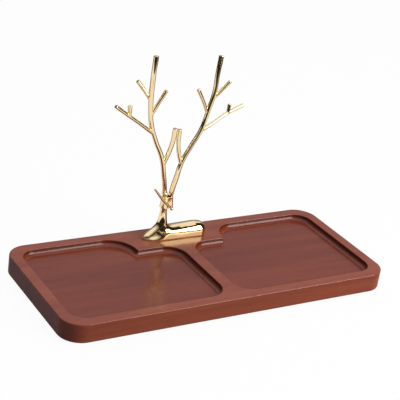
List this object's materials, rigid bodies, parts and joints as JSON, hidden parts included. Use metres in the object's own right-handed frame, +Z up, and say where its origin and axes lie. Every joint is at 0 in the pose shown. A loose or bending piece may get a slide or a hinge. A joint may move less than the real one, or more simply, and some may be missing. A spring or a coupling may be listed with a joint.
{
  "type": "jewelry tray",
  "caption": "Shallow stained-wood jewelry tray with coved wells and a gold-coloured twig-shaped stand for hanging necklaces.",
  "frame": {"origin": "centre of the board, on the table under the foot pads", "axes": "+X along the board's long side, +Y towards the back, where the stand is, +Z up"},
  "size_m": [0.28, 0.12, 0.1691],
  "materials": {
    "stained_wood": "satin lacquer over a red-brown stain",
    "gilt_casting": "polished pale gold plating",
    "zinc_steel": "zinc plated",
    "rubber_pad": "matt black"
  },
  "bodies": {
    "root": {"tray_board": "stained_wood", "stand_base": "gilt_casting", "left_branch": "gilt_casting", "right_branch": "gilt_casting", "binding_band": "gilt_casting", "binding_twig": "gilt_casting", "base_screw_left": "zinc_steel", "base_screw_right": "zinc_steel", "base_washer_left": "zinc_steel", "base_washer_right": "zinc_steel", "foot_front_left": "rubber_pad", "foot_front_right": "rubber_pad", "foot_back_left": "rubber_pad", "foot_back_right": "rubber_pad"}
  },
  "joints": []
}
